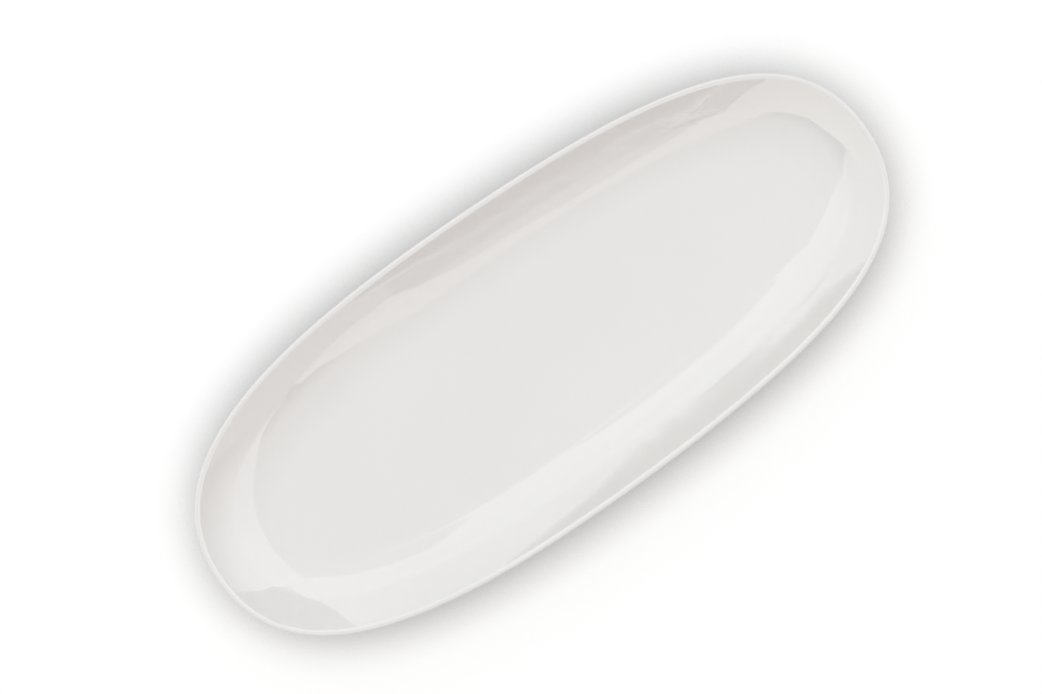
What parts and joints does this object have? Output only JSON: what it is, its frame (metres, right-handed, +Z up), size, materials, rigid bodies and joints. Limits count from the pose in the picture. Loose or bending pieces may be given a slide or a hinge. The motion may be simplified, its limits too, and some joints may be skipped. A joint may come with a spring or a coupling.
{
  "type": "oval serving plate",
  "caption": "Long oval coupe plate of glazed white porcelain with a flat well, a flared wall, a thin rounded rim and a bare foot ring, for serving food.",
  "frame": {"origin": "centre of the foot ring, on the plane that the plate stands on", "axes": "+X along the plate, +Y across it, +Z up out of the well"},
  "size_m": [0.36, 0.1474, 0.0281],
  "materials": {
    "biscuit": "matte unglazed porcelain, ground smooth on the foot",
    "white_glaze": "high gloss transparent glaze over white porcelain"
  },
  "bodies": {
    "root": {"porcelain_body": "biscuit", "glaze_main_coat": "white_glaze", "glaze_base_coat": "white_glaze"}
  },
  "joints": []
}
